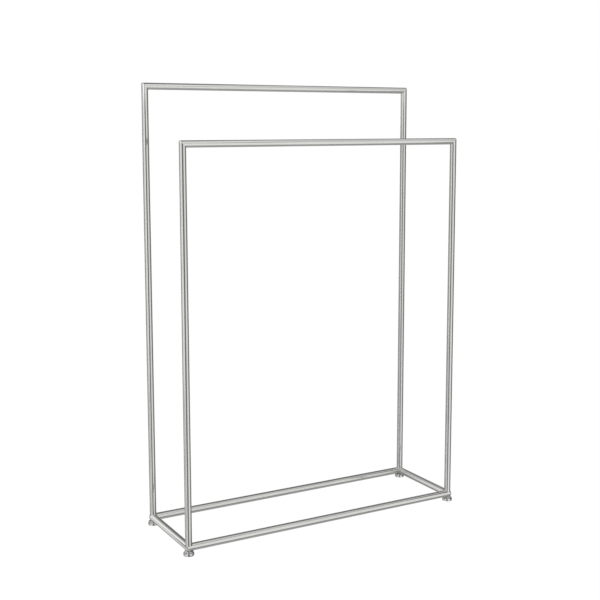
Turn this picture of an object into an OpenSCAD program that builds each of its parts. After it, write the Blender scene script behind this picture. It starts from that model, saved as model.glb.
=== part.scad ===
// Free-standing two-frame towel and valet stand.
// A low floor ring of mitred round tube carries a tall frame at the back and a
// shorter frame at the front. Each ring corner stands on a levelling foot: a
// screw with a round thumb collar, turning in a wider foot disc.
// Origin: on the floor at the centre of the footprint. +Z up, +X to the right,
// the short frame at -Y, the tall frame at +Y. Millimetres.

/* [Frame] */
// Overall width across the outer faces of the uprights
frame_w = 600; // [450:1:900]
// Overall depth across the outer faces of the uprights
frame_d = 187.5; // [150:0.5:320]
// Overall height of the tall back frame, floor to top of its rail
back_h = 859; // [700:1:1100]
// Overall height of the short front frame, floor to top of its rail
front_h = 754; // [500:1:900]

/* [Tube] */
// Outside diameter of the uprights and the top rails
tube_d = 12.7; // [12.2:0.1:16]
// Outside diameter of the floor ring's rails, no less than the uprights'
ring_tube_d = 14; // [12.7:0.1:17]
// Wall thickness of every tube
tube_wall = 1.5; // [1:0.1:1.5]
// Radius ground on the outer point of each mitred corner
corner_r = 2; // [0.5:0.1:3]

/* [Levelling foot] */
// Height of the ring's underside above the floor, with the foot screwed fully in
ring_clear = 8.3; // [8.1:0.1:14]
// Diameter of the foot disc, the wide lower disc
foot_d = 20.2; // [19:0.1:26]
// Height of the foot disc's upper face above the floor
foot_top = 5.8; // [5.2:0.1:6]
// Rounding of the foot disc's edges
foot_round = 1.1; // [0.5:0.1:1.6]
// Diameter of the thumb collar, the narrow upper disc
collar_d = 17.5; // [15:0.1:18]
// Thickness of the thumb collar
collar_t = 1.8; // [1.4:0.1:1.8]
// Diameter of the neck that shows as a groove between the two discs
neck_d = 12.6; // [9:0.1:13.4]
// Diameter of the glide pad under the foot disc
pad_d = 16.6; // [12:0.1:16.8]
// Height that the glide pad stands proud of the foot disc's rim
pad_proud = 0.4; // [0.2:0.1:0.8]

/* [Levelling thread] */
// Nominal diameter of the levelling thread
thread_d = 6; // [5:0.5:6]
// Radial clearance of each turning fit
run_clear = 0.05; // [0.02:0.01:0.08]
// Length of the screw above its collar
stud_len = 14; // [12:0.5:16]
// Outside diameter of the threaded bush welded into each ring corner
bush_d = 8.6; // [8:0.1:8.6]
// Length of the threaded bush
bush_len = 26; // [22:0.5:30]
// Depth of the thread inside the bush
bush_bore = 18; // [16:0.5:20]

/* [Hidden] */
$fn = 96;
big = 60;
r = tube_d / 2;
ri = r - tube_wall;
rr = max(ring_tube_d, tube_d) / 2;
rri = rr - tube_wall;
xb = (frame_w - tube_d) / 2;
yb = (frame_d - tube_d) / 2;
zr = ring_clear + rr;
collar_bot = ring_clear - 0.2 - collar_t;
collar_top = ring_clear - 0.2;
clip_d = 8.6;
clip_core = 4.4;
clip_z = 1.75;
clip_t = 0.6;
pin_end = 1.45;

// ---- shared shapes ----

// Block that takes the sharp outer point off a mitre, leaving a ground radius.
// Drawn at the origin for a corner whose outer faces are x = 0 and z = 0,
// the material being at negative x and negative z. The axis is Y.
module point_grind() {
    rotate([90, 0, 0])
        translate([0, 0, -r - 1])
        linear_extrude(height = 2 * r + 2)
        difference() {
            translate([-corner_r, -corner_r]) square(corner_r + 2);
            translate([-corner_r, -corner_r]) circle(r = corner_r);
        }
}

// Wedge that keeps an upright below the 45 degree mitre at its top
module upright_mitre(sx, y, h) {
    translate([0, y + big / 2, 0]) rotate([90, 0, 0])
        linear_extrude(height = big)
        polygon([
            [sx * (xb - r - 20), zr - 1],
            [sx * (xb + r + 1), zr - 1],
            [sx * (xb + r + 1), h + 1],
            [sx * (xb - r - 20), h - 2 * r - 20]
        ]);
}

// Trapezium that keeps a top rail above the 45 degree mitres at its ends
module rail_mitre(y, h) {
    translate([0, y + big / 2, 0]) rotate([90, 0, 0])
        linear_extrude(height = big)
        polygon([
            [-(xb + r + 1), h + 1], [xb + r + 1, h + 1],
            [xb - r - 1, h - 2 * r - 1], [-(xb - r - 1), h - 2 * r - 1]
        ]);
}

// Outer shape of a ring rail that runs along X, mitred in plan. Its mitres can run
// past the diagonals, so that it overlaps the Y rails when both cut an upright.
module ring_x_solid(sy, past = 0) {
    intersection() {
        translate([-xb - rr - 1, sy * yb, zr]) rotate([0, 90, 0])
            cylinder(r = rr, h = 2 * (xb + rr + 1));
        translate([0, 0, zr - rr - 1]) linear_extrude(height = 2 * rr + 2)
            polygon([
                [-(xb + rr + 1 + past), sy * (yb + rr + 1)], [xb + rr + 1 + past, sy * (yb + rr + 1)],
                [xb - rr - 1 + past, sy * (yb - rr - 1)], [-(xb - rr - 1 + past), sy * (yb - rr - 1)]
            ]);
    }
}

// Outer shape of a ring rail that runs along Y, mitred in plan
module ring_y_solid(sx) {
    intersection() {
        translate([sx * xb, yb + rr + 1, zr]) rotate([90, 0, 0])
            cylinder(r = rr, h = 2 * (yb + rr + 1));
        translate([0, 0, zr - rr - 1]) linear_extrude(height = 2 * rr + 2)
            polygon([
                [sx * (xb + rr + 1), -(yb + rr + 1)], [sx * (xb + rr + 1), yb + rr + 1],
                [sx * (xb - rr - 1), yb - rr - 1], [sx * (xb - rr - 1), -(yb - rr - 1)]
            ]);
    }
}

// Ground radius on the four plan corners of the ring
module ring_grind() {
    for (sx = [-1, 1]) for (sy = [-1, 1])
        translate([sx * (xb + rr), sy * (yb + rr), 0])
            scale([sx, sy, 1])
            linear_extrude(height = zr + rr + 1)
            difference() {
                translate([-corner_r, -corner_r]) square(corner_r + 2);
                translate([-corner_r, -corner_r]) circle(r = corner_r);
            }
}

// Holes through the ring corners for the threaded bushes
module bush_holes() {
    for (sx = [-1, 1]) for (sy = [-1, 1])
        translate([sx * xb, sy * yb, 0]) cylinder(d = bush_d, h = zr + rr + 1);
}

// ---- tubes ----

module upright(sx, sy, h) {
    color("gainsboro")
    difference() {
        intersection() {
            translate([sx * xb, sy * yb, zr]) difference() {
                cylinder(r = r, h = h - zr + 1);
                translate([0, 0, -1]) cylinder(r = ri, h = h - zr + 3);
            }
            upright_mitre(sx, sy * yb, h);
        }
        ring_x_solid(sy, 0.02);
        ring_y_solid(sx);
        translate([sx * (xb + r), sy * yb, h]) mirror([sx < 0 ? 1 : 0, 0, 0]) point_grind();
    }
}

module top_rail(sy, h) {
    color("gainsboro")
    difference() {
        intersection() {
            translate([-xb - r - 1, sy * yb, h - r]) rotate([0, 90, 0]) difference() {
                cylinder(r = r, h = 2 * (xb + r + 1));
                translate([0, 0, -1]) cylinder(r = ri, h = 2 * (xb + r + 2));
            }
            rail_mitre(sy * yb, h);
        }
        translate([xb + r, sy * yb, h]) point_grind();
        translate([-xb - r, sy * yb, h]) mirror([1, 0, 0]) point_grind();
    }
}

module ring_x(sy) {
    color("gainsboro")
    difference() {
        ring_x_solid(sy);
        translate([-xb - rr - 2, sy * yb, zr]) rotate([0, 90, 0])
            cylinder(r = rri, h = 2 * (xb + rr + 2));
        bush_holes();
        ring_grind();
    }
}

module ring_y(sx) {
    color("gainsboro")
    difference() {
        ring_y_solid(sx);
        translate([sx * xb, yb + rr + 2, zr]) rotate([90, 0, 0])
            cylinder(r = rri, h = 2 * (yb + rr + 2));
        bush_holes();
        ring_grind();
    }
}

// ---- levelling foot ----

// Welded bush with a blind thread, open at its lower end
module threaded_bush(sx, sy) {
    color("silver")
    translate([sx * xb, sy * yb, collar_top])
    difference() {
        cylinder(d = bush_d, h = bush_len);
        translate([0, 0, -1]) cylinder(d = thread_d, h = bush_bore + 1);
    }
}

// Screw, thumb collar, neck and the lower pin that turns in the foot disc
module levelling_screw(sx, sy) {
    e = collar_t / 2 - 0.05;
    color("whitesmoke")
    translate([sx * xb, sy * yb, 0])
    difference() {
        rotate_extrude()
        union() {
            // thumb collar with a full round rim
            translate([0, collar_bot]) square([collar_d / 2 - e, collar_t]);
            translate([0, collar_bot + e]) square([collar_d / 2, collar_t - 2 * e]);
            translate([collar_d / 2 - e, collar_bot + e]) circle(r = e, $fn = 48);
            translate([collar_d / 2 - e, collar_top - e]) circle(r = e, $fn = 48);
            // neck that carries the load onto the foot disc
            translate([0, foot_top]) square([neck_d / 2, collar_bot - foot_top + 0.1]);
            // threaded length above the collar, with a chamfered end
            translate([0, collar_bot]) square([thread_d / 2 - run_clear, collar_t + stud_len - 0.6]);
            polygon([
                [0, collar_top + stud_len - 0.7],
                [thread_d / 2 - run_clear, collar_top + stud_len - 0.6],
                [thread_d / 2 - run_clear - 0.6, collar_top + stud_len],
                [0, collar_top + stud_len]
            ]);
            // lower pin
            translate([0, pin_end]) square([thread_d / 2 - run_clear, foot_top - pin_end + 0.1]);
        }
        // clip groove
        translate([0, 0, clip_z - 0.05]) difference() {
            cylinder(d = thread_d + 2, h = clip_t + 0.1);
            translate([0, 0, -1]) cylinder(d = clip_core, h = clip_t + 3);
        }
    }
}

// Snap ring in the pin's groove, split at the front
module retaining_clip(sx, sy) {
    color("dimgray")
    translate([sx * xb, sy * yb, clip_z])
    difference() {
        cylinder(d = clip_d, h = clip_t);
        translate([0, 0, -1]) cylinder(d = clip_core + 0.06, h = clip_t + 2);
        translate([-1.6, -clip_d, -1]) cube([3.2, clip_d, clip_t + 2]);
    }
}

// Wide lower disc: bored for the pin, recessed for the clip and the pad
module foot_disc(sx, sy) {
    e = foot_round;
    color("whitesmoke")
    translate([sx * xb, sy * yb, 0])
    difference() {
        rotate_extrude()
        union() {
            translate([0, pad_proud]) square([foot_d / 2 - e, foot_top - pad_proud]);
            translate([0, pad_proud + e]) square([foot_d / 2, foot_top - pad_proud - 2 * e]);
            translate([foot_d / 2 - e, pad_proud + e]) circle(r = e, $fn = 48);
            translate([foot_d / 2 - e, foot_top - e]) circle(r = e, $fn = 48);
        }
        cylinder(d = thread_d, h = foot_top + 1);
        cylinder(d = 10, h = 2.7);
        cylinder(d = pad_d, h = 1.2);
    }
}

// Soft disc glued into the recess, the face that the stand rests on
module glide_pad(sx, sy) {
    color("dimgray")
    translate([sx * xb, sy * yb, 0])
    rotate_extrude()
    union() {
        square([pad_d / 2 - 0.33, 1.2]);
        translate([0, 0.3]) square([pad_d / 2 - 0.03, 0.9]);
        translate([pad_d / 2 - 0.33, 0.3]) circle(r = 0.3, $fn = 32);
    }
}

// ---- assembly ----

upright(-1, 1, back_h);  // back_left_upright
upright(1, 1, back_h);  // back_right_upright
top_rail(1, back_h);  // back_top_rail
upright(-1, -1, front_h);  // front_left_upright
upright(1, -1, front_h);  // front_right_upright
top_rail(-1, front_h);  // front_top_rail
ring_x(-1);  // base_front_rail
ring_x(1);  // base_back_rail
ring_y(-1);  // base_left_rail
ring_y(1);  // base_right_rail
threaded_bush(-1, -1);  // threaded_bush_fl
threaded_bush(1, -1);  // threaded_bush_fr
threaded_bush(-1, 1);  // threaded_bush_bl
threaded_bush(1, 1);  // threaded_bush_br
levelling_screw(-1, -1);  // levelling_screw_fl
levelling_screw(1, -1);  // levelling_screw_fr
levelling_screw(-1, 1);  // levelling_screw_bl
levelling_screw(1, 1);  // levelling_screw_br
retaining_clip(-1, -1);  // retaining_clip_fl
retaining_clip(1, -1);  // retaining_clip_fr
retaining_clip(-1, 1);  // retaining_clip_bl
retaining_clip(1, 1);  // retaining_clip_br
foot_disc(-1, -1);  // foot_disc_fl
foot_disc(1, -1);  // foot_disc_fr
foot_disc(-1, 1);  // foot_disc_bl
foot_disc(1, 1);  // foot_disc_br
glide_pad(-1, -1);  // glide_pad_fl
glide_pad(1, -1);  // glide_pad_fr
glide_pad(-1, 1);  // glide_pad_bl
glide_pad(1, 1);  // glide_pad_br
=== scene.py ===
import math
from itertools import product

import bpy
import numpy as np
from mathutils import Matrix, Vector
from mathutils.geometry import delaunay_2d_cdt


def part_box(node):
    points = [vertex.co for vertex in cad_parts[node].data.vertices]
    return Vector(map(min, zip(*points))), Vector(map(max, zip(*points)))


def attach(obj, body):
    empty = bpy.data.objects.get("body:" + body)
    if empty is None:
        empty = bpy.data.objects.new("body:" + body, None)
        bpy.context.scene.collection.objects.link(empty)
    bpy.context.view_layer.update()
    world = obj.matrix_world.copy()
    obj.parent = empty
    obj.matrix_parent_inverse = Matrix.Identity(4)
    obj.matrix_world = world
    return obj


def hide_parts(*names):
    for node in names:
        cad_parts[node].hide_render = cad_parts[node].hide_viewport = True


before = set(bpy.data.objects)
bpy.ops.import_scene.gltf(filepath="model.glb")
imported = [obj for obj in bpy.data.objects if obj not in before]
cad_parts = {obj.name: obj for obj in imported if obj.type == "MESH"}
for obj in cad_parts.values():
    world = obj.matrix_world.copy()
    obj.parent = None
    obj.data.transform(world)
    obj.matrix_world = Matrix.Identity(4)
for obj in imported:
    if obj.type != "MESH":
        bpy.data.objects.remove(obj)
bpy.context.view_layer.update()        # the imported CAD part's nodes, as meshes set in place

MM = 0.001
TAU = 2 * math.pi

# ---------------------------------------------------------------- dimensions
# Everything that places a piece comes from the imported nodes' boxes.
lo_b, hi_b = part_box("back_top_rail")
lo_f, hi_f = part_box("front_top_rail")
lo_r, hi_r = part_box("base_right_rail")
lo_q, hi_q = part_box("base_front_rail")
lo_u, hi_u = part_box("front_left_upright")
R = round((hi_b.z - lo_b.z) / 2, 6)                      # outer radius of the uprights and top rails
RI = R - 1.5 * MM                                        # their bore radius
RR = round((hi_q.z - lo_q.z) / 2, 6)                     # outer radius of the floor ring's rails
RRI = RR - 1.5 * MM
XB = -(lo_u.x + hi_u.x) / 2                              # centre lines of the uprights
YB = -(lo_u.y + hi_u.y) / 2
ZR = (lo_q.z + hi_q.z) / 2                               # centre line of the floor ring
ZBACK = (lo_b.z + hi_b.z) / 2                            # centre lines of the top rails
ZFRONT = (lo_f.z + hi_f.z) / 2
lo_h, hi_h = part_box("threaded_bush_fl")
RB = round((hi_h.x - lo_h.x) / 2, 5)                     # bush radius
Z_BUSH0, Z_BUSH1 = lo_h.z, hi_h.z
lo_s, hi_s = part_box("levelling_screw_fl")
Z_SCREW0, Z_SCREW1 = lo_s.z, hi_s.z
RC = round((hi_s.x - lo_s.x) / 2, 5)                     # thumb collar radius
lo_d, hi_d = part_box("foot_disc_fl")
RD = round((hi_d.x - lo_d.x) / 2, 5)                     # foot disc radius
Z_DISC0, Z_DISC1 = lo_d.z, hi_d.z
lo_p, hi_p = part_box("glide_pad_fl")
RP = round((hi_p.x - lo_p.x) / 2, 5)
Z_PAD1 = hi_p.z
lo_c, hi_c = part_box("retaining_clip_fl")
Z_CLIP0, Z_CLIP1 = lo_c.z, hi_c.z

FEET = {"fl": (-XB, -YB), "fr": (XB, -YB), "bl": (-XB, YB), "br": (XB, YB)}
SEG = 96                 # sides of a tube's outer skin
SEG_IN = 48              # sides of its bore
STEPS = 14               # rows round the arc of a top mitre


# ---------------------------------------------------------------- mesh builder
class Shape:
    """A mesh in the making. Points are welded by place, and every face corner keeps its own normal."""

    def __init__(self):
        self.points, self.index, self.faces, self.normals, self.mats = [], {}, [], [], []

    def add(self, p):
        x, y, z = p[0] * 1e6, p[1] * 1e6, p[2] * 1e6
        key = (round(x), round(y), round(z))
        k = self.index.get(key)
        if k is None:
            # the same place can round to either side, so its near neighbours are looked up too
            for near in product(*({round(c - 0.02), round(c + 0.02)} for c in (x, y, z))):
                if near in self.index:
                    return self.index[near]
            k = self.index[key] = len(self.points)
            self.points.append((float(p[0]), float(p[1]), float(p[2])))
        return k

    def face(self, pts, nors=None, mat=0):
        ids, keep = [], []
        for i, p in enumerate(pts):
            k = self.add(p)
            if k not in ids:
                ids.append(k)
                keep.append(i)
        if len(ids) < 3:
            return
        x = y = z = 0.0
        ax, ay, az = self.points[ids[0]]
        for i in range(1, len(ids) - 1):
            bx, by, bz = self.points[ids[i]]
            cx, cy, cz = self.points[ids[i + 1]]
            bx, by, bz, cx, cy, cz = bx - ax, by - ay, bz - az, cx - ax, cy - ay, cz - az
            x, y, z = x + by * cz - bz * cy, y + bz * cx - bx * cz, z + bx * cy - by * cx
        size = math.sqrt(x * x + y * y + z * z)
        if size < 1e-16:
            return
        if nors is None:
            use = [(x / size, y / size, z / size)] * len(ids)
        else:
            use = [tuple(map(float, nors[i])) for i in keep]
            if sum(n[0] * x + n[1] * y + n[2] * z for n in use) < 0:      # keep the winding on the side that the normals say
                ids.reverse()
                use.reverse()
        self.faces.append(ids)
        self.normals.append(use)
        self.mats.append(mat)

    def flat(self, pts, towards, mat=0):
        self.face(pts, [towards] * len(pts), mat)

    def build(self, name, materials, smooth=True):
        mesh = bpy.data.meshes.new(name)
        mesh.from_pydata(self.points, [], self.faces)
        mesh.update()
        for m in materials:
            mesh.materials.append(m)
        mesh.polygons.foreach_set("material_index", self.mats)
        mesh.polygons.foreach_set("use_smooth", [smooth] * len(self.faces))
        flat = []
        for use in self.normals:
            for n in use:
                size = math.sqrt(n[0] ** 2 + n[1] ** 2 + n[2] ** 2) or 1.0
                flat.append((n[0] / size, n[1] / size, n[2] / size))
        mesh.normals_split_custom_set(flat)
        obj = bpy.data.objects.new(name, mesh)
        bpy.context.scene.collection.objects.link(obj)
        return obj


def unit(v):
    v = np.asarray(v, float)
    return v / (np.linalg.norm(v) or 1.0)


def ramp(x, a, b):
    t = min(1.0, max(0.0, (x - a) / (b - a)))
    return t * t * (3 - 2 * t)


# ---------------------------------------------------------------- tubes
# At a mitre, each line along the tube turns towards the next tube on a short arc. Its radius is the ground
# radius on the outer side of the joint and the small weld throat on the inner side.
def top_round(s):
    return 0.45 * MM + 2.05 * MM * ramp(s, -0.1 * R, 0.75 * R)


def ring_round(s):
    return 3.2 * MM * ramp(s, 0.74 * RR, 0.99 * RR) + 0.25 * MM * (1 - ramp(s, 0.3 * RR, 0.6 * RR))


def mitre_point(corner, t, o, up, s, w, rho, slope, phi, side=1.0):
    """A point and its outward normal on the arc at a mitre. s is the outward offset and w the offset along up, both from the centre line."""
    along = s - rho + rho * math.sin(phi)
    out = s - rho + rho * math.cos(phi)
    p = corner + along * t + out * o + w * up
    # tangents: across the tube (ds, dw) = (w, -s) for a turn about the axis, and along the arc
    da = w * (t + o) * (1 - slope) + w * slope * (math.sin(phi) * t + math.cos(phi) * o) - s * up
    dp = math.cos(phi) * t - math.sin(phi) * o
    n = unit((da[1] * dp[2] - da[2] * dp[1], da[2] * dp[0] - da[0] * dp[2], da[0] * dp[1] - da[1] * dp[0]))
    radial = s * (math.cos(phi) * o + math.sin(phi) * t) + w * up
    if np.dot(n, radial) < 0:
        n = -n
    return p, n * side


def rounding(rule, s):
    rho = rule(s)
    e = 1e-6
    return rho, (rule(s + e) - rule(s - e)) / (2 * e)


def mitred_rows(corner, t, o, up, rule, steps, seg):
    """Rows of (point, normal) from the straight part up to the mitre plane, for the tube's outer skin."""
    rows = []
    for k in range(steps + 1):
        row = []
        for j in range(seg):
            a = TAU * j / seg
            s, w = R * math.sin(a), R * math.cos(a)
            rho, slope = rounding(rule, s)
            row.append(mitre_point(corner, t, o, up, s, w, rho, slope, math.radians(45) * k / steps))
        rows.append(row)
    return rows


def ring_of(centre, o, up, r, seg, side=1.0):
    row = []
    for j in range(seg):
        a = TAU * j / seg
        d = math.sin(a) * o + math.cos(a) * up
        row.append((centre + r * d, d * side))
    return row


def skin(shape, rows, mat=0):
    """Quads between neighbouring rows."""
    for a, b in zip(rows, rows[1:]):
        n = len(a)
        for j in range(n):
            k = (j + 1) % n
            q = [a[j], a[k], b[k], b[j]]
            shape.face([x[0] for x in q], [x[1] for x in q], mat)


def cap(shape, outer, inner, towards, mat=0):
    """A flat ring between an outer row and an inner row, whose counts may differ by a whole factor."""
    n, m = len(outer), len(inner)
    f = n // m
    for j in range(m):
        k = (j + 1) % m
        arc = [outer[(j * f + i) % n] for i in range(f + 1)]
        shape.flat(arc + [inner[k], inner[j]], towards, mat)


def bore_mitre(corner, t, o, up, seg):
    row = []
    for j in range(seg):
        a = TAU * j / seg
        s, w = RI * math.sin(a), RI * math.cos(a)
        d = math.sin(a) * o + math.cos(a) * up
        row.append((corner + s * t + s * o + w * up, -d))
    return row


def top_rail(name, y, z, materials):
    sh = Shape()
    up, o = np.array([0, 1.0, 0]), np.array([0, 0, 1.0])
    left, right = np.array([-XB, y, z]), np.array([XB, y, z])
    tl, tr = np.array([-1.0, 0, 0]), np.array([1.0, 0, 0])
    start = mitred_rows(left, tl, o, up, top_round, STEPS, SEG)[::-1]
    end = mitred_rows(right, tr, o, up, top_round, STEPS, SEG)
    middle = [ring_of(np.array([x, y, z]), o, up, R, SEG) for x in np.linspace(-XB + 2.2 * R, XB - 2.2 * R, 9)]
    rows = start + middle + end
    skin(sh, rows)
    bore = [bore_mitre(left, tl, o, up, SEG_IN)]
    bore += [ring_of(np.array([x, y, z]), o, up, RI, SEG_IN, -1.0) for x in (-XB + 2.2 * R, XB - 2.2 * R)]
    bore += [bore_mitre(right, tr, o, up, SEG_IN)]
    skin(sh, bore)
    cap(sh, [p for p, _ in rows[0]], [p for p, _ in bore[0]], unit(tl - o))
    cap(sh, [p for p, _ in rows[-1]], [p for p, _ in bore[-1]], unit(tr - o))
    return sh.build(name, materials)


def ring_height(x, y, sx, sy):
    """Height of the floor ring's upper skin over its centre line at an offset (x, y) from a corner, and how steeply it falls along the way out."""
    u, v = -sx * x, -sy * y            # both positive towards the middle of the ring
    if u > v:                          # on the rail that runs along X
        rest = RR * RR - y * y
        return math.sqrt(max(rest, 0.0)), y * y
    rest = RR * RR - x * x
    return math.sqrt(max(rest, 0.0)), x * x


def upright(name, sx, sy, z_top, materials):
    """Mitred at the top, coped over the floor ring at the bottom with a small weld fillet."""
    sh = Shape()
    o, up, t = np.array([sx, 0, 0.0]), np.array([0, 1.0, 0]), np.array([0, 0, 1.0])
    x, y = sx * XB, sy * YB
    corner = np.array([x, y, z_top])
    top = mitred_rows(corner, t, o, up, top_round, STEPS, SEG)
    throat = 1.0 * MM
    steps = 6
    foot = [[None] * SEG for _ in range(steps + 1)]
    sunk = [None] * SEG
    for j in range(SEG):
        a = TAU * j / SEG
        d = math.sin(a) * o + math.cos(a) * up
        px, py = R * d[0], R * d[1]
        h, q = ring_height(px * 0.9999, py * 0.9999, sx, sy)
        tilt = math.atan2(q / R, max(h, 1e-9))          # fall of the ring's skin on the way out
        lift = throat * (1 - math.sin(tilt)) / max(math.cos(tilt), 1e-6)
        zc = ZR + h + lift
        turn = math.pi / 2 - tilt
        for k in range(steps + 1):
            b = turn * k / steps
            rad = R + throat - throat * math.cos(b)
            z = zc - throat * math.sin(b)
            p = np.array([x + rad * d[0], y + rad * d[1], z])
            n = unit(math.cos(b) * d + math.sin(b) * t)
            foot[k][j] = (p, n)
        p = foot[steps][j][0]
        sunk[j] = np.array([p[0] - 0.12 * MM * d[0], p[1] - 0.12 * MM * d[1], p[2] - 0.25 * MM])
    z0 = ZR + RR + 4.5 * MM
    levels = np.linspace(z0, z_top - 2.2 * R, 12)
    middle = [ring_of(np.array([x, y, z]), o, up, R, SEG) for z in levels]
    rows = foot[::-1] + middle + top
    skin(sh, rows)
    bore0 = []
    for j in range(SEG_IN):
        a = TAU * j / SEG_IN
        d = math.sin(a) * o + math.cos(a) * up
        h, _ = ring_height(RI * d[0] * 0.9999, RI * d[1] * 0.9999, sx, sy)
        bore0.append((np.array([x + RI * d[0], y + RI * d[1], ZR + h - 0.05 * MM]), -d))
    bore = [bore0, ring_of(np.array([x, y, z0]), o, up, RI, SEG_IN, -1.0),
            ring_of(np.array([x, y, z_top - 2.2 * R]), o, up, RI, SEG_IN, -1.0), bore_mitre(corner, t, o, up, SEG_IN)]
    skin(sh, bore)
    cap(sh, [p for p, _ in rows[-1]], [p for p, _ in bore[-1]], unit(t - o))
    # the coped end: it lies on the ring's skin, a little under it where the fillet ends
    for j in range(SEG):
        k = (j + 1) % SEG
        sh.face([foot[steps][j][0], foot[steps][k][0], sunk[k], sunk[j]], [foot[steps][j][1], foot[steps][k][1], foot[steps][k][1], foot[steps][j][1]])
    f = SEG // SEG_IN
    for j in range(SEG_IN):
        k = (j + 1) % SEG_IN
        arc = [sunk[(j * f + i) % SEG] for i in range(f + 1)]
        for i in range(f):
            sh.flat([arc[i], arc[i + 1], bore0[j][0]], -t)
        sh.flat([arc[f], bore0[k][0], bore0[j][0]], -t)
    return sh.build(name, materials)


# ---- floor ring rails: the outer skin's ends are triangulated in the unrolled plane, because the bush holes bite into the mitre
def inside(poly, pts):
    x, y = pts[:, 0], pts[:, 1]
    hit = np.zeros(len(pts), bool)
    x1, y1 = poly[:, 0], poly[:, 1]
    x2, y2 = np.roll(x1, -1), np.roll(y1, -1)
    for a, b, c, d in zip(x1, y1, x2, y2):
        if b == d:
            continue
        cross = (b > y) != (d > y)
        xi = a + (y - b) * (c - a) / (d - b)
        hit ^= cross & (x < xi)
    return hit


def gap_to(poly, pts):
    best = np.full(len(pts), 1e9)
    a, b = poly, np.roll(poly, -1, axis=0)
    for p, q in zip(a, b):
        e = q - p
        size = float(e @ e)
        if size < 1e-18:
            continue
        t = np.clip(((pts - p) @ e) / size, 0, 1)
        best = np.minimum(best, np.linalg.norm(pts - (p + t[:, None] * e), axis=1))
    return best


def end_outline(r, seg, reach):
    """Outline, in (angle, way along), of the end of a ring rail's skin of radius r, and the parts of it that other faces join.
    Angle 0 is the top line, 90 degrees the outer side; the way along is counted from the corner's centre, towards the corner."""
    def at(s, top):
        a = math.asin(max(-1.0, min(1.0, s / r)))
        return a if top else math.pi - a
    n_arc = 28
    psi = np.linspace(math.radians(225), math.radians(45), n_arc)
    s0 = RB / math.sqrt(2)
    a0 = math.asin(s0 / r)
    bottom = [(at(RB * math.sin(q), False), RB * math.cos(q)) for q in psi]      # inner diagonal to outer diagonal
    top = [(at(RB * math.sin(q), True), RB * math.cos(q)) for q in psi[::-1]]     # outer diagonal to inner diagonal
    n_out = 36
    outer = [(a, r * math.sin(a)) for a in np.linspace(math.pi - a0, a0, n_out)]
    n_in = 18
    inner_b = [(a, r * math.sin(a)) for a in np.linspace(1.5 * math.pi, math.pi + a0, n_in)]
    inner_t = [(a, r * math.sin(a)) for a in np.linspace(-a0, -0.5 * math.pi, n_in)]
    base = [(-0.5 * math.pi + TAU * j / seg, -reach) for j in range(seg + 1)]
    # seam lines at the inner side, both with the same heights
    seam = np.linspace(-reach, -r, 9)[1:-1]
    right = [(1.5 * math.pi, v) for v in seam]
    left = [(-0.5 * math.pi, v) for v in seam[::-1]]
    poly = base + right + inner_b[:-1] + bottom[:-1] + outer[:-1] + top[:-1] + inner_t + left
    return poly, {"bottom": bottom, "top": top, "outer": outer, "inner_b": inner_b, "inner_t": inner_t}


def ring_skin_point(corner, t, o, r, a, v, rounded):
    """Where (angle, way along) lies in space, with the outward normal."""
    up = np.array([0, 0, 1.0])
    s, w = r * math.sin(a), r * math.cos(a)
    if rounded:
        rho, slope = rounding(ring_round, s)
        if rho > 1e-9 and v > s - rho:
            phi = math.radians(45) * min(1.0, (v - (s - rho)) / rho)
            return mitre_point(corner, t, o, up, s, w, rho, slope, phi)
    d = math.sin(a) * o + math.cos(a) * up
    return corner + v * t + s * o + w * up, d


def ring_end(shape, corner, t, o, r, seg, reach, side, mat=0):
    """The skin of radius r from the ring of points at -reach up to the mitre and round the bush holes. Returns the outline's parts as points."""
    rounded = side > 0
    poly, parts = end_outline(r, seg, reach)
    P = np.array([(a * r, v) for a, v in poly])
    grid = []
    step = TAU * r / seg
    rows = np.arange(-reach + step * 1.3, r, step * 1.3)
    for j in range(seg):
        a = -0.5 * math.pi + TAU * j / seg
        for v in rows:
            grid.append((a * r, v))
    if rounded:
        for j in range(seg):
            a = -0.5 * math.pi + TAU * j / seg
            s = r * math.sin(a)
            rho = ring_round(s)
            if rho > 0.6 * MM:
                for k in range(6):
                    grid.append((a * r, s - rho + rho * k / 6))
    G = np.array(grid)
    G = G[inside(P, G)]
    G = G[gap_to(P, G) > step * 0.45]
    keep, taken = [], set()
    for p in G[::-1]:                  # the points of the rounding come first
        key = (round(p[0] / (step * 0.5)), round(p[1] / (step * 0.5)))
        if key in taken:
            continue
        taken.add(key)
        keep.append(p)
    pts = [Vector((p[0] / MM, p[1] / MM)) for p in P] + [Vector((p[0] / MM, p[1] / MM)) for p in keep]
    n = len(P)
    edges = [(i, (i + 1) % n) for i in range(n)]
    got, _, tris, _, _, _ = delaunay_2d_cdt(pts, edges, [], 0, 1e-7)
    Q = np.array([(p[0] * MM, p[1] * MM) for p in got])
    tri = np.array([f for f in tris if len(f) == 3])
    mid = Q[tri].mean(axis=1)
    ok = inside(P, mid)
    space = [ring_skin_point(corner, t, o, r, q[0] / r, q[1], rounded) for q in Q]
    for f in tri[ok]:
        a, b = Q[f[1]] - Q[f[0]], Q[f[2]] - Q[f[0]]
        if abs(a[0] * b[1] - a[1] * b[0]) < 1e-13:
            continue
        shape.face([space[i][0] for i in f], [space[i][1] * side for i in f], mat)
    return {k: [ring_skin_point(corner, t, o, r, a, v, rounded)[0] for a, v in part] for k, part in parts.items()}


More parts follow.
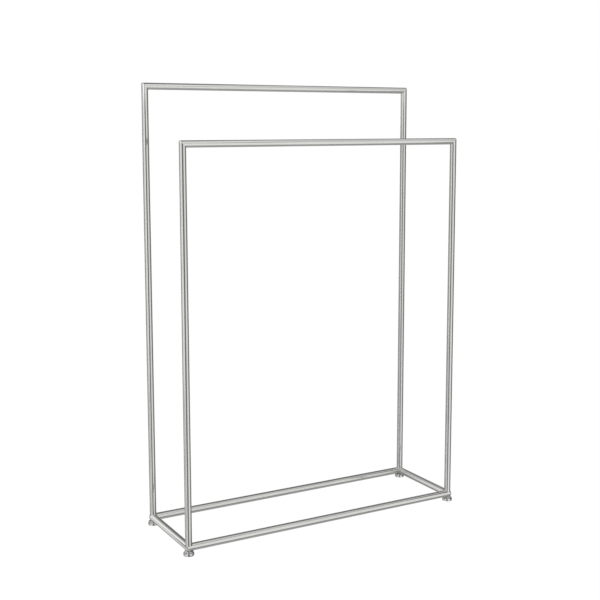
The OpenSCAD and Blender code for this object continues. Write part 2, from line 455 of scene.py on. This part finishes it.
def ring_rail(name, a, b, o, materials):
    """A floor ring rail from corner a to corner b. o points away from the middle of the ring."""
    sh = Shape()
    a, b, o, up = (np.array(q, float) for q in (a, b, o, (0, 0, 1)))
    t = unit(b - a)
    reach = 12 * MM
    for r, seg, side in ((RR, SEG, 1.0), (RRI, SEG_IN, -1.0)):
        ends = []
        for corner, way in ((a, -t), (b, t)):
            ends.append(ring_end(sh, corner, way, o, r, seg, reach, side))
        if side > 0:
            outer_parts = ends
        else:
            inner_parts = ends
        length = np.linalg.norm(b - a)
        count = max(3, int(length / (60 * MM)) + 2) if side > 0 else 2
        rows = []
        for d in np.linspace(reach, length - reach, count):
            row = []
            for j in range(seg):
                q = -0.5 * math.pi + TAU * j / seg
                n = math.sin(q) * o + math.cos(q) * up
                row.append((a + d * t + r * n, n * side))
            rows.append(row)
        skin(sh, rows)
    for e, (corner, way) in enumerate(((a, -t), (b, t))):
        cut = unit(way - o)
        for part in ("outer", "inner_b", "inner_t"):
            p, q = outer_parts[e][part], inner_parts[e][part]
            for i in range(len(p) - 1):
                sh.flat([p[i], p[i + 1], q[i + 1], q[i]], cut)
        for part in ("bottom", "top"):
            p, q = outer_parts[e][part], inner_parts[e][part]
            for i in range(len(p) - 1):
                f = [p[i], p[i + 1], q[i + 1], q[i]]
                nor = []
                for v in f:
                    d = np.array([corner[0] - v[0], corner[1] - v[1], 0.0])
                    nor.append(unit(d))
                sh.face(f, nor)
    return sh.build(name, materials)


# ---------------------------------------------------------------- turned pieces
def turned(name, centre, profile, seg, materials, closed=True):
    """A piece turned about a vertical axis. profile is a list of (radius, height) round the section, in order."""
    sh = Shape()
    n = len(profile)
    cx, cy = centre
    for i in range(n if closed else n - 1):
        (r0, z0), (r1, z1) = profile[i], profile[(i + 1) % n]
        for j in range(seg):
            a0, a1 = TAU * j / seg, TAU * (j + 1) / seg if j + 1 < seg else 0.0
            c0, s0, c1, s1 = math.cos(a0), math.sin(a0), math.cos(a1), math.sin(a1)
            sh.face([(cx + r0 * c0, cy + r0 * s0, z0), (cx + r0 * c1, cy + r0 * s1, z0),
                     (cx + r1 * c1, cy + r1 * s1, z1), (cx + r1 * c0, cy + r1 * s0, z1)])
    return finish_mesh(sh, name, materials, centre)


def finish_mesh(sh, name, materials, centre, sharp=32):
    """A smooth-shaded mesh with sharp edges by angle, its faces all pointing outwards, and its own axis stored for the material."""
    import bmesh
    mesh = bpy.data.meshes.new(name)
    mesh.from_pydata(sh.points, [], sh.faces)
    bm = bmesh.new()
    bm.from_mesh(mesh)
    bmesh.ops.recalc_face_normals(bm, faces=bm.faces)
    bm.to_mesh(mesh)
    bm.free()
    for m in materials:
        mesh.materials.append(m)
    mesh.polygons.foreach_set("use_smooth", [True] * len(mesh.polygons))
    mesh.set_sharp_from_angle(angle=math.radians(sharp))
    store_axis(mesh, centre)
    obj = bpy.data.objects.new(name, mesh)
    bpy.context.scene.collection.objects.link(obj)
    return obj


def store_axis(mesh, centre):
    """Attribute 'turn': each point's place from the piece's own axis, in metres."""
    at = mesh.attributes.new("turn", "FLOAT_VECTOR", "POINT")
    co = np.zeros(len(mesh.vertices) * 3, np.float32)
    mesh.vertices.foreach_get("co", co)
    co = co.reshape(-1, 3)
    co[:, 0] -= centre[0]
    co[:, 1] -= centre[1]
    at.data.foreach_set("vector", co.ravel())


def arc(cx, cz, r, a0, a1, n):
    """Points on an arc in (radius, height), angles in degrees from the outward direction, upwards positive."""
    return [(cx + r * math.cos(math.radians(a0 + (a1 - a0) * i / n)), cz + r * math.sin(math.radians(a0 + (a1 - a0) * i / n))) for i in range(n + 1)]


def helix_rows(r_root, r_crest, crest, root, z0, z1, lead, pitch, seg, taper_low, taper_high, inner=False):
    """Points of a screw thread from z0 to z1: one column of (x, y, z) per angle. crest and root are the flat shares of the pitch."""
    flank = (1 - crest - root) / 2
    marks = [(0.0, r_root), (root, r_root), (root + flank, r_crest), (root + flank + crest, r_crest)]
    cols = []
    turns = int((z1 - z0) / pitch) + 3
    for j in range(seg):
        a = TAU * j / seg
        col = []
        for k in range(-2, turns):
            for m, r in marks:
                z = lead + (k + m + j / seg) * pitch
                zc = min(max(z, z0), z1)
                if inner:
                    rr = max(r, r_crest + (0 if taper_low is None else max(0.0, taper_low - (zc - z0))),
                             r_crest + (0 if taper_high is None else max(0.0, taper_high - (z1 - zc))))
                    rr = min(rr, max(r_root, r_crest))
                    if zc == z0 and taper_low is not None:
                        rr = max(r_root, r_crest)
                    if zc == z1 and taper_high is not None:
                        rr = max(r_root, r_crest)
                else:
                    rr = r
                    if taper_low is not None:
                        rr = min(rr, r_root + (zc - z0) / taper_low * (r_crest - r_root))
                    if taper_high is not None:
                        rr = min(rr, r_crest - (taper_high - min(z1 - zc, taper_high)))
                    rr = max(rr, 0.2 * MM)
                col.append((rr * math.cos(a), rr * math.sin(a), zc))
        cols.append(col)
    return cols


def add_columns(sh, cols, centre):
    """Quads between neighbouring columns of a helix; the last column joins the first one pitch on."""
    seg = len(cols)
    shift = 4                                      # marks in one pitch
    cx, cy = centre
    for j in range(seg):
        a, b = cols[j], cols[(j + 1) % seg]
        off = 0 if j + 1 < seg else shift
        for i in range(len(a) - 1):
            k = i + off
            if k + 1 >= len(b):
                # the helix has run past its end: all further points are the end point
                k0, k1 = min(k, len(b) - 1), min(k + 1, len(b) - 1)
            else:
                k0, k1 = k, k + 1
            q = [a[i], b[k0], b[k1], a[i + 1]]
            sh.face([(cx + p[0], cy + p[1], p[2]) for p in q])


PITCH = 1.0 * MM
THREAD_LEAD = 8.1 * MM


def levelling_screw(name, centre, materials):
    """Collar with a full round rim, neck, lower pin with its clip groove, and the M6 stud with a real helix."""
    seg = 96
    e = 0.85 * MM
    z1 = Z_BUSH0
    z0 = z1 - 1.8 * MM
    zn = z0 - 0.5 * MM                                   # lower face of the neck, on the foot disc
    rn = 6.3 * MM
    rp, rg = 2.95 * MM, 2.2 * MM
    root, crest = 2.42 * MM, 2.94 * MM
    zt0, zt1 = z1 + 0.7 * MM, Z_SCREW1
    prof = [(0.0, Z_SCREW0 + 0.0), (rp - 0.35 * MM, Z_SCREW0), (rp, Z_SCREW0 + 0.2 * MM), (rp, 1.70 * MM)]
    prof += [(rg, 1.70 * MM), (rg, 2.40 * MM), (rp, 2.40 * MM), (rp, zn - 0.35 * MM), (rp - 0.12 * MM, zn - 0.2 * MM), (rp - 0.12 * MM, zn)]
    prof += [(rn - 0.25 * MM, zn)] + arc(rn - 0.25 * MM, zn + 0.25 * MM, 0.25 * MM, -90, 0, 5)[1:]
    prof += [(rn, z0 - 0.1 * MM)] + [(rn + 0.1 * MM, z0)]
    prof += [(RC - e, z0)] + arc(RC - e, (z0 + z1) / 2, (z1 - z0) / 2, -90, 90, 20)[1:-1] + [(RC - e, z1)]
    prof += [(3.6 * MM, z1), (3.5 * MM, z1 - 0.08 * MM), (root + 0.25 * MM, z1 - 0.08 * MM), (root, z1 + 0.17 * MM), (root, zt0)]
    sh = Shape()
    cx, cy = centre
    for i in range(len(prof) - 1):
        (r0, h0), (r1, h1) = prof[i], prof[i + 1]
        for j in range(seg):
            a0, a1 = TAU * j / seg, TAU * ((j + 1) % seg) / seg
            sh.face([(cx + r0 * math.cos(a0), cy + r0 * math.sin(a0), h0), (cx + r0 * math.cos(a1), cy + r0 * math.sin(a1), h0),
                     (cx + r1 * math.cos(a1), cy + r1 * math.sin(a1), h1), (cx + r1 * math.cos(a0), cy + r1 * math.sin(a0), h1)])
    cols = helix_rows(root, crest, 0.13, 0.26, zt0, zt1, THREAD_LEAD, PITCH, seg, 0.5 * MM, 0.62 * MM)
    add_columns(sh, cols, centre)
    tip = [(cx + cols[j][-1][0], cy + cols[j][-1][1], zt1) for j in range(seg)]
    for j in range(seg):
        sh.face([(cx, cy, zt1), tip[j], tip[(j + 1) % seg]])
    return finish_mesh(sh, name, materials, centre, 30)


def threaded_bush(name, centre, materials):
    """Blind bush with an internal M6 helix that the stud's helix runs in."""
    seg = 96
    r = RB
    z0, z1 = Z_BUSH0, Z_BUSH1
    depth = 18 * MM
    crest, root = 2.54 * MM, 3.0 * MM
    out = [(root, z0), (r - 0.25 * MM, z0), (r, z0 + 0.25 * MM), (r, z1 - 0.5 * MM), (r - 0.5 * MM, z1), (0.0, z1)]
    bore = [(0.0, z0 + depth + 1.2 * MM), (crest, z0 + depth), (root, z0 + depth)]
    sh = Shape()
    cx, cy = centre
    for prof in (out, bore):
        for i in range(len(prof) - 1):
            (r0, h0), (r1, h1) = prof[i], prof[i + 1]
            for j in range(seg):
                a0, a1 = TAU * j / seg, TAU * ((j + 1) % seg) / seg
                sh.face([(cx + r0 * math.cos(a0), cy + r0 * math.sin(a0), h0), (cx + r0 * math.cos(a1), cy + r0 * math.sin(a1), h0),
                         (cx + r1 * math.cos(a1), cy + r1 * math.sin(a1), h1), (cx + r1 * math.cos(a0), cy + r1 * math.sin(a0), h1)])
    cols = helix_rows(crest, root, 0.17, 0.22, z0, z0 + depth, THREAD_LEAD + 0.02 * MM, PITCH, seg, 0.5 * MM, 0.5 * MM, inner=True)
    add_columns(sh, cols, centre)
    return finish_mesh(sh, name, materials, centre, 30)


def foot_disc(name, centre, materials):
    e = 1.1 * MM
    z0, z1 = Z_DISC0, Z_DISC1
    prof = [(RP + 0.03 * MM + 0.35 * MM, z0)] + [(RD - e, z0)] + arc(RD - e, z0 + e, e, -90, 0, 14)[1:]
    prof += arc(RD - e, z1 - e, e, 0, 90, 14)
    prof += [(3.35 * MM, z1), (3.0 * MM, z1 - 0.3 * MM), (3.0 * MM, 2.7 * MM), (5.0 * MM, 2.7 * MM), (5.0 * MM, 1.2 * MM), (RP + 0.03 * MM, 1.2 * MM),
             (RP + 0.03 * MM, z0 + 0.3 * MM)]
    return turned(name, centre, prof, 128, materials)


def glide_pad(name, centre, materials):
    """Soft disc with rounded edges and two shallow grip rings in its underside."""
    r, z1 = RP, Z_PAD1
    prof = [(0.0, z1), (r - 0.05 * MM, z1), (r, z1 - 0.05 * MM), (r, 0.3 * MM)] + arc(r - 0.3 * MM, 0.3 * MM, 0.3 * MM, 0, -90, 6)[1:]
    for c in (6.1 * MM, 3.9 * MM):
        prof += [(c + 0.42 * MM, 0.0), (c + 0.3 * MM, 0.14 * MM), (c, 0.2 * MM), (c - 0.3 * MM, 0.14 * MM), (c - 0.42 * MM, 0.0)]
    prof += [(0.0, 0.0)]
    return turned(name, centre, prof, 112, materials, closed=False)


def retaining_clip(name, centre, materials):
    """A three-lugged E-clip, open towards the front, with eased edges."""
    cx, cy = centre
    r_out, r_in, lug = 4.3 * MM, 3.05 * MM, 2.23 * MM
    gap = math.radians(36)
    n = 96
    inner, outer = [], []
    for i in range(n + 1):
        a = -math.pi / 2 + gap + (TAU - 2 * gap) * i / n
        turn = (a + math.pi / 2 - gap) / (TAU - 2 * gap)
        k = max(ramp(0.075, 0.0, 0.075 + 1e-9) * (1 - ramp(abs(turn - c), 0.035, 0.075)) for c in (0.035, 0.5, 0.965))
        ri = r_in + (lug - r_in) * k
        ro = r_out - 0.55 * MM * (1 - ramp(min(turn, 1 - turn), 0.0, 0.05))
        inner.append((ri * math.cos(a), ri * math.sin(a)))
        outer.append((ro * math.cos(a), ro * math.sin(a)))
    sh = Shape()
    ease = 0.06 * MM

    def shell(z, grow):
        ins = [(cx + p[0] * (1 + grow / 2.6e-3), cy + p[1] * (1 + grow / 2.6e-3), z) for p in inner]
        outs = [(cx + p[0] * (1 - grow / 4.2e-3), cy + p[1] * (1 - grow / 4.2e-3), z) for p in outer]
        return ins, outs
    layers = [shell(Z_CLIP0, ease), shell(Z_CLIP0 + ease, 0), shell(Z_CLIP1 - ease, 0), shell(Z_CLIP1, ease)]
    for (ia, oa), (ib, ob) in zip(layers, layers[1:]):
        for i in range(n):
            sh.face([ia[i], ia[i + 1], ib[i + 1], ib[i]])
            sh.face([oa[i], oa[i + 1], ob[i + 1], ob[i]])
        for i in (0, n):
            sh.face([ia[i], oa[i], ob[i], ib[i]])
    for ins, outs in (layers[0], layers[-1]):
        for i in range(n):
            sh.face([ins[i], ins[i + 1], outs[i + 1], outs[i]])
    return finish_mesh(sh, name, materials, centre, 30)


# ---------------------------------------------------------------- materials
def new_material(name):
    m = bpy.data.materials.new(name)
    m.use_nodes = True
    nt = m.node_tree
    nt.nodes.clear()
    out = nt.nodes.new("ShaderNodeOutputMaterial")
    bsdf = nt.nodes.new("ShaderNodeBsdfPrincipled")
    nt.links.new(bsdf.outputs["BSDF"], out.inputs["Surface"])
    return m, nt, bsdf


def node(nt, kind, **values):
    n = nt.nodes.new(kind)
    for k, v in values.items():
        if hasattr(n, k):
            setattr(n, k, v)
        else:
            n.inputs[k.replace("_", " ")].default_value = v
    return n


def noise(nt, vector, scale, detail=2.0, rough=0.5):
    n = nt.nodes.new("ShaderNodeTexNoise")
    n.inputs["Scale"].default_value = scale
    n.inputs["Detail"].default_value = detail
    n.inputs["Roughness"].default_value = rough
    nt.links.new(vector, n.inputs["Vector"])
    return n.outputs["Fac"]


def stretched(nt, vector, scale):
    m = nt.nodes.new("ShaderNodeMapping")
    m.inputs["Scale"].default_value = scale
    nt.links.new(vector, m.inputs["Vector"])
    return m.outputs["Vector"]


def map_range(nt, value, a, b, c, d):
    m = nt.nodes.new("ShaderNodeMapRange")
    for k, v in (("From Min", a), ("From Max", b), ("To Min", c), ("To Max", d)):
        m.inputs[k].default_value = v
    nt.links.new(value, m.inputs["Value"])
    return m.outputs["Result"]


def math_node(nt, op, a, b):
    m = nt.nodes.new("ShaderNodeMath")
    m.operation = op
    for i, v in enumerate((a, b)):
        if isinstance(v, (int, float)):
            m.inputs[i].default_value = v
        else:
            nt.links.new(v, m.inputs[i])
    return m.outputs[0]


def mix_colour(nt, fac, a, b):
    m = nt.nodes.new("ShaderNodeMix")
    m.data_type = "RGBA"
    sockets = [s for s in m.inputs if s.type == "RGBA"]
    for s, v in zip(sockets, (a, b)):
        if isinstance(v, tuple):
            s.default_value = v
        else:
            nt.links.new(v, s)
    nt.links.new(fac, m.inputs[0])
    return [s for s in m.outputs if s.type == "RGBA"][0]


def bump(nt, height, strength, distance, normal=None):
    b = nt.nodes.new("ShaderNodeBump")
    b.inputs["Strength"].default_value = strength
    b.inputs["Distance"].default_value = distance
    nt.links.new(height, b.inputs["Height"])
    if normal is not None:
        nt.links.new(normal, b.inputs["Normal"])
    return b.outputs["Normal"]


STEEL = (0.74, 0.735, 0.715)
ROUGH = 0.11


def tube_steel(name, axis):
    """Fine-polished stainless tube. The polishing grain runs along the tube, so each of the three tube directions has its own."""
    m, nt, bsdf = new_material(name)
    at = nt.nodes.new("ShaderNodeTexCoord").outputs["Object"]
    fine = [9000.0, 9000.0, 9000.0]
    fine[axis] = 60.0
    grain = noise(nt, stretched(nt, at, fine), 1.0, 2.0, 0.6)
    mid = [1400.0, 1400.0, 1400.0]
    mid[axis] = 14.0
    streak = noise(nt, stretched(nt, at, mid), 1.0, 3.0, 0.55)
    long_ = [90.0, 90.0, 90.0]
    long_[axis] = 9.0
    cloud = noise(nt, stretched(nt, at, long_), 1.0, 3.0, 0.6)
    # a few faint handling scuffs, short and nearly along the tube
    scuff_at = [700.0, 700.0, 700.0]
    scuff_at[axis] = 55.0
    scuff = map_range(nt, noise(nt, stretched(nt, at, scuff_at), 1.0, 5.0, 0.7), 0.66, 0.74, 0.0, 1.0)
    dark = tuple(c * 0.955 for c in STEEL) + (1.0,)
    light = tuple(min(1.0, c * 1.03) for c in STEEL) + (1.0,)
    colour = mix_colour(nt, map_range(nt, cloud, 0.32, 0.68, 0.0, 1.0), dark, light)
    nt.links.new(colour, bsdf.inputs["Base Color"])
    bsdf.inputs["Metallic"].default_value = 1.0
    r = math_node(nt, "ADD", map_range(nt, streak, 0.3, 0.7, ROUGH - 0.025, ROUGH + 0.03), map_range(nt, cloud, 0.3, 0.7, -0.012, 0.016))
    r = math_node(nt, "ADD", r, math_node(nt, "MULTIPLY", scuff, 0.05))
    nt.links.new(r, bsdf.inputs["Roughness"])
    n1 = bump(nt, grain, 0.10, 0.010 * MM)
    n2 = bump(nt, cloud, 0.35, 0.02 * MM, n1)
    nt.links.new(n2, bsdf.inputs["Normal"])
    return m


def turned_metal(name, colour, rough, groove, metallic=1.0, wear=0.03):
    """Lathe-turned metal: faint rings about the piece's own axis, and small marks where fingers have turned it."""
    m, nt, bsdf = new_material(name)
    a = nt.nodes.new("ShaderNodeAttribute")
    a.attribute_name = "turn"
    at = a.outputs["Vector"]
    sep = nt.nodes.new("ShaderNodeSeparateXYZ")
    nt.links.new(at, sep.inputs[0])
    rr = math_node(nt, "SQRT", math_node(nt, "ADD", math_node(nt, "MULTIPLY", sep.outputs[0], sep.outputs[0]), math_node(nt, "MULTIPLY", sep.outputs[1], sep.outputs[1])), 0.0)
    comb = nt.nodes.new("ShaderNodeCombineXYZ")
    nt.links.new(rr, comb.inputs[0])
    nt.links.new(sep.outputs[2], comb.inputs[1])
    rings = noise(nt, stretched(nt, comb.outputs[0], (9000.0, 9000.0, 1.0)), 1.0, 2.0, 0.6)
    marks = noise(nt, at, 900.0, 4.0, 0.6)
    cloud = noise(nt, at, 160.0, 3.0, 0.6)
    dark = tuple(c * (1 - 1.6 * wear) for c in colour) + (1.0,)
    light = tuple(min(1.0, c * (1 + wear)) for c in colour) + (1.0,)
    nt.links.new(mix_colour(nt, map_range(nt, cloud, 0.35, 0.65, 0.0, 1.0), dark, light), bsdf.inputs["Base Color"])
    bsdf.inputs["Metallic"].default_value = metallic
    r = math_node(nt, "ADD", map_range(nt, rings, 0.3, 0.7, rough * 0.8, rough * 1.2), map_range(nt, marks, 0.55, 0.75, 0.0, wear * 2))
    nt.links.new(r, bsdf.inputs["Roughness"])
    nt.links.new(bump(nt, rings, groove, 0.02 * MM), bsdf.inputs["Normal"])
    return m


def rubber(name, colour):
    m, nt, bsdf = new_material(name)
    a = nt.nodes.new("ShaderNodeAttribute")
    a.attribute_name = "turn"
    at = a.outputs["Vector"]
    grit = noise(nt, at, 3500.0, 3.0, 0.65)
    cloud = noise(nt, at, 350.0, 3.0, 0.6)
    nt.links.new(mix_colour(nt, cloud, tuple(c * 0.75 for c in colour) + (1.0,), tuple(c * 1.45 for c in colour) + (1.0,)), bsdf.inputs["Base Color"])
    nt.links.new(map_range(nt, cloud, 0.3, 0.7, 0.62, 0.82), bsdf.inputs["Roughness"])
    nt.links.new(bump(nt, grit, 0.5, 0.03 * MM), bsdf.inputs["Normal"])
    return m


steel_x, steel_y, steel_z = tube_steel("tube_steel_x", 0), tube_steel("tube_steel_y", 1), tube_steel("tube_steel_z", 2)
foot_steel = turned_metal("foot_steel", (0.78, 0.78, 0.77), 0.07, 0.05)
bush_steel = turned_metal("bush_steel", (0.60, 0.59, 0.57), 0.28, 0.35, wear=0.05)
spring_steel = turned_metal("spring_steel", (0.22, 0.22, 0.23), 0.34, 0.15, wear=0.09)
pad_rubber = rubber("pad_rubber", (0.045, 0.045, 0.047))


# ---------------------------------------------------------------- pieces
def place(obj, body, node_name):
    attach(obj, body)
    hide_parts(node_name)
    return obj


for side, sx in (("left", -1), ("right", 1)):
    place(upright(f"v_back_{side}_upright", sx, 1, ZBACK, [steel_z]), "frame", f"back_{side}_upright")
    place(upright(f"v_front_{side}_upright", sx, -1, ZFRONT, [steel_z]), "frame", f"front_{side}_upright")
    place(ring_rail(f"v_base_{side}_rail", (sx * XB, -YB, ZR), (sx * XB, YB, ZR), (sx, 0, 0), [steel_y]), "frame", f"base_{side}_rail")
place(top_rail("v_back_top_rail", YB, ZBACK, [steel_x]), "frame", "back_top_rail")
place(top_rail("v_front_top_rail", -YB, ZFRONT, [steel_x]), "frame", "front_top_rail")
place(ring_rail("v_base_front_rail", (-XB, -YB, ZR), (XB, -YB, ZR), (0, -1, 0), [steel_x]), "frame", "base_front_rail")
place(ring_rail("v_base_back_rail", (-XB, YB, ZR), (XB, YB, ZR), (0, 1, 0), [steel_x]), "frame", "base_back_rail")

# Each piece of a foot is built once about its own axis, and its copies are set at the four corners.
for make, kind, body, slot, metal in (
        (threaded_bush, "threaded_bush", "frame", "bush_steel", bush_steel),
        (levelling_screw, "levelling_screw", "screw_{}", "turned_steel", foot_steel),
        (retaining_clip, "retaining_clip", "screw_{}", "spring_steel", spring_steel),
        (foot_disc, "foot_disc", "foot_{}", "turned_steel", foot_steel),
        (glide_pad, "glide_pad", "foot_{}", "glide_rubber", pad_rubber)):
    first = make(f"v_{kind}", (0.0, 0.0), [metal])
    for c, at in FEET.items():
        mesh = first.data.copy()
        mesh.name = f"v_{kind}_{c}"
        mesh.transform(Matrix.Translation((at[0], at[1], 0.0)))
        piece = bpy.data.objects.new(f"v_{kind}_{c}", mesh)
        bpy.context.scene.collection.objects.link(piece)
        place(piece, body.format(c), f"{kind}_{c}")
    bpy.data.objects.remove(first)


# ---------------------------------------------------------------- floor, light and camera
def lit_floor():
    mesh = bpy.data.meshes.new("floor")
    s = 14.0
    mesh.from_pydata([(-s, -s, 0), (s, -s, 0), (s, s, 0), (-s, s, 0)], [], [(0, 1, 2, 3)])
    m, nt, bsdf = new_material("floor_paper")
    out = [n for n in nt.nodes if n.type == "OUTPUT_MATERIAL"][0]
    bsdf.inputs["Base Color"].default_value = (0.62, 0.62, 0.61, 1)
    bsdf.inputs["Roughness"].default_value = 0.9
    white = nt.nodes.new("ShaderNodeEmission")
    white.inputs["Color"].default_value = (1, 1, 1, 1)
    white.inputs["Strength"].default_value = 1.027
    path = nt.nodes.new("ShaderNodeLightPath")
    mix = nt.nodes.new("ShaderNodeMixShader")
    nt.links.new(math_node(nt, "MULTIPLY", path.outputs["Is Camera Ray"], 0.97), mix.inputs[0])
    nt.links.new(bsdf.outputs[0], mix.inputs[1])
    nt.links.new(white.outputs[0], mix.inputs[2])
    nt.links.new(mix.outputs[0], out.inputs["Surface"])
    mesh.materials.append(m)
    obj = bpy.data.objects.new("floor", mesh)
    bpy.context.scene.collection.objects.link(obj)
    obj.visible_glossy = False          # a gloss table top would mirror the soft boxes: the tubes see them through it
    obj.visible_shadow = False
    return obj


floor = lit_floor()

scene = bpy.context.scene
world = bpy.data.worlds.new("studio")
scene.world = world
world.use_nodes = True
wt = world.node_tree
wt.nodes.clear()
w_out = wt.nodes.new("ShaderNodeOutputWorld")
bg_seen = wt.nodes.new("ShaderNodeBackground")
bg_seen.inputs["Color"].default_value = (1, 1, 1, 1)
bg_room = wt.nodes.new("ShaderNodeBackground")
bg_room.inputs["Color"].default_value = (1, 1, 1, 1)
# the room is dim overhead and paler towards the ground
w_dir = wt.nodes.new("ShaderNodeTexCoord")
w_sep = wt.nodes.new("ShaderNodeSeparateXYZ")
wt.links.new(w_dir.outputs["Generated"], w_sep.inputs[0])
w_down = math_node(wt, "MULTIPLY", math_node(wt, "MINIMUM", w_sep.outputs[2], 0.0), math_node(wt, "MINIMUM", w_sep.outputs[2], 0.0))
wt.links.new(math_node(wt, "ADD", math_node(wt, "MULTIPLY", w_down, 0.292), 0.208), bg_room.inputs["Strength"])
w_mix = wt.nodes.new("ShaderNodeMixShader")
w_path = wt.nodes.new("ShaderNodeLightPath")
wt.links.new(w_path.outputs["Is Camera Ray"], w_mix.inputs[0])
wt.links.new(bg_room.outputs[0], w_mix.inputs[1])
wt.links.new(bg_seen.outputs[0], w_mix.inputs[2])
wt.links.new(w_mix.outputs[0], w_out.inputs["Surface"])


def softbox(name, at, facing, width, height, white):
    """A soft box. white is its brightness, 1 being the paper's white."""
    light = bpy.data.lights.new(name, "AREA")
    light.shape = "RECTANGLE"
    light.size, light.size_y = width, height
    light.energy = white * math.pi * width * height
    obj = bpy.data.objects.new(name, light)
    obj.location = at
    obj.rotation_mode = "QUATERNION"
    obj.rotation_quaternion = (Vector(facing) - Vector(at)).to_track_quat("-Z", "Y")
    obj.visible_camera = False
    scene.collection.objects.link(obj)
    return obj


def upright_box(name, azimuth, distance, width, z0, z1, white):
    """A tall soft box that faces the stand squarely. Azimuth 0 is in front, 90 to the right."""
    a = math.radians(azimuth)
    z = (z0 + z1) / 2
    return softbox(name, (distance * math.sin(a), -distance * math.cos(a), z), (0, 0, z), width, z1 - z0, white)


def raised_box(name, azimuth, elevation, distance, width, height, white):
    """A soft box on a boom, tilted towards the middle of the stand."""
    a, e = math.radians(azimuth), math.radians(elevation)
    middle = Vector((0, 0, 0.43))
    at = middle + distance * Vector((math.sin(a) * math.cos(e), -math.cos(a) * math.cos(e), math.sin(e)))
    return softbox(name, at, middle, width, height, white)


# Tall soft boxes with dark gaps between them: the gaps are the dark lines down the tubes.
upright_box("soft_front_right", 19.1, 1.38, 1.45, -0.60, 1.21, 0.71)
upright_box("soft_right_strip", 135.9, 2.24, 0.31, -2.50, 1.38, 0.26)
upright_box("soft_back_strip", 214.1, 1.55, 0.37, -1.86, 1.20, 0.67)
upright_box("soft_left_front", 295.3, 1.30, 0.47, -3.65, 3.80, 0.79)
upright_box("soft_left", 261.1, 1.30, 0.30, -3.82, 2.30, 1.04)
raised_box("soft_left_high", 279.9, 17.8, 1.00, 0.27, 1.37, 0.59)
raised_box("soft_front_high", 325.8, 48.0, 1.16, 1.72, 1.29, 0.45)
raised_box("soft_right_high", 54.0, 56.9, 1.12, 1.03, 1.11, 0.49)
raised_box("soft_behind_high", 205.0, 28.6, 3.36, 2.83, 2.92, 0.33)

# The camera: fitted to the tubes' edges in the photograph's 600 x 600 frame.
CAM = np.array([-1.027541, -1.808274, 0.778888])
RIGHT = np.array([0.8714793, -0.4904305, -0.0012983])
DOWN = np.array([-0.0652562, -0.1133336, -0.9914117])
AHEAD = np.array([0.4860714, 0.8640795, -0.1307715])
cam_data = bpy.data.cameras.new("camera")
cam_data.sensor_width = 36.0
cam_data.sensor_fit = "HORIZONTAL"
cam_data.lens = 1063.50 / 600 * 36.0
cam_data.shift_x = 0.0
cam_data.shift_y = -34.0 / 600
cam_data.clip_start, cam_data.clip_end = 0.05, 60
cam = bpy.data.objects.new("camera", cam_data)
m = Matrix.Identity(4)
for i in range(3):
    m[i][0], m[i][1], m[i][2], m[i][3] = RIGHT[i], -DOWN[i], -AHEAD[i], CAM[i]
cam.matrix_world = m
scene.collection.objects.link(cam)
scene.camera = cam

scene.view_settings.view_transform = "Standard"
scene.view_settings.look = "None"
scene.view_settings.exposure = 0.0
scene.view_settings.gamma = 1.0
scene.cycles.use_denoising = True
scene.cycles.max_bounces = 8
scene.cycles.glossy_bounces = 6
